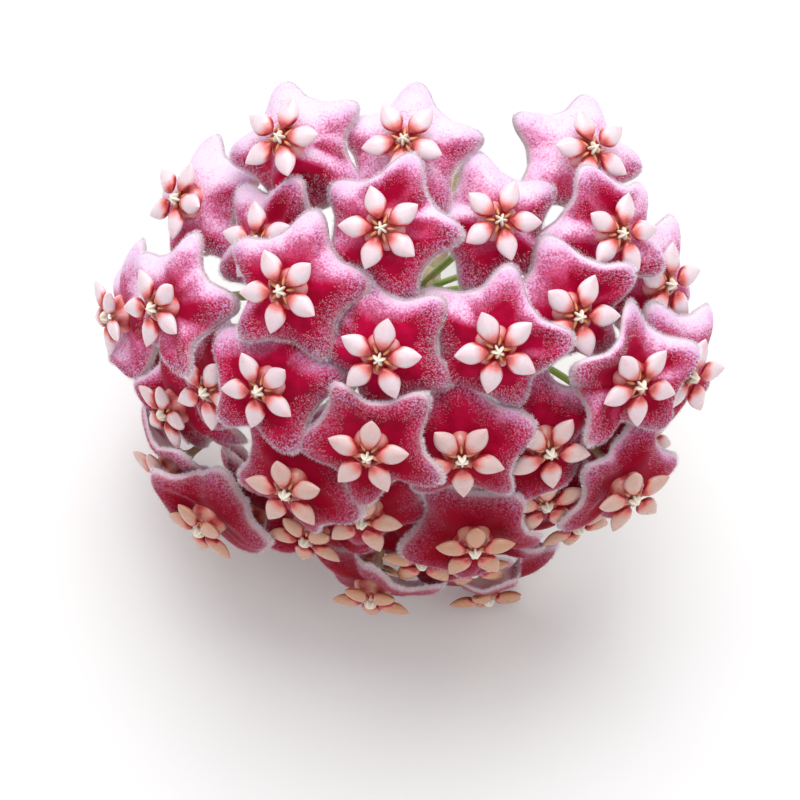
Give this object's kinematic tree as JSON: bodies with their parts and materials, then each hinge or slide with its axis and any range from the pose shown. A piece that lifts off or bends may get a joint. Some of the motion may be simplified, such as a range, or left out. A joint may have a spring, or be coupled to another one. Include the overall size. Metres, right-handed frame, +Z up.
{
  "type": "hoya flower umbel",
  "caption": "Domed umbel of fleshy, velvety crimson star flowers with waxy pink coronas on one cut stalk, lying on its side.",
  "frame": {"origin": "centre of the bottom of the bounding box, on the surface that the umbel lies on", "axes": "+Z up; the umbel's axis lies in the YZ plane, its flowers look toward -Y and up, and its stalk runs down toward +Y"},
  "size_m": [0.0834, 0.0794, 0.0701],
  "materials": {
    "corolla_velvet": "fleshy petal tissue, deep crimson paling to lilac pink at the margin, under a nap of short white hairs",
    "corona_wax": "waxy, pearly pink rays reddening toward the middle",
    "velvet_hair": "short translucent white hairs",
    "flower_stalk_skin": "downy green to buff skin",
    "peduncle_skin": "smooth green skin with buff scars, pale where it is cut"
  },
  "bodies": {
    "root": {"floret_01": "corolla_velvet", "floret_02": "corolla_velvet", "floret_03": "corolla_velvet", "floret_04": "corolla_velvet", "floret_05": "corolla_velvet", "floret_06": "corolla_velvet", "floret_07": "corolla_velvet", "floret_08": "corolla_velvet", "floret_09": "corolla_velvet", "floret_10": "corolla_velvet", "floret_11": "corolla_velvet", "floret_12": "corolla_velvet", "floret_13": "corolla_velvet", "floret_14": "corolla_velvet", "floret_15": "corolla_velvet", "floret_16": "corolla_velvet", "floret_17": "corolla_velvet", "floret_18": "corolla_velvet", "floret_19": "corolla_velvet", "floret_20": "corolla_velvet", "floret_21": "corolla_velvet", "floret_22": "corolla_velvet", "floret_23": "corolla_velvet", "floret_24": "corolla_velvet", "floret_25": "corolla_velvet", "floret_26": "corolla_velvet", "floret_27": "corolla_velvet", "floret_28": "corolla_velvet", "floret_29": "corolla_velvet", "floret_30": "corolla_velvet", "floret_31": "corolla_velvet", "floret_32": "corolla_velvet", "floret_33": "corolla_velvet", "floret_34": "corolla_velvet", "floret_35": "corolla_velvet", "floret_36": "corolla_velvet", "floret_37": "corolla_velvet", "floret_38": "corolla_velvet", "floret_39": "corolla_velvet", "floret_40": "corolla_velvet", "floret_41": "corolla_velvet", "floret_42": "corolla_velvet", "peduncle": "peduncle_skin"}
  },
  "joints": []
}
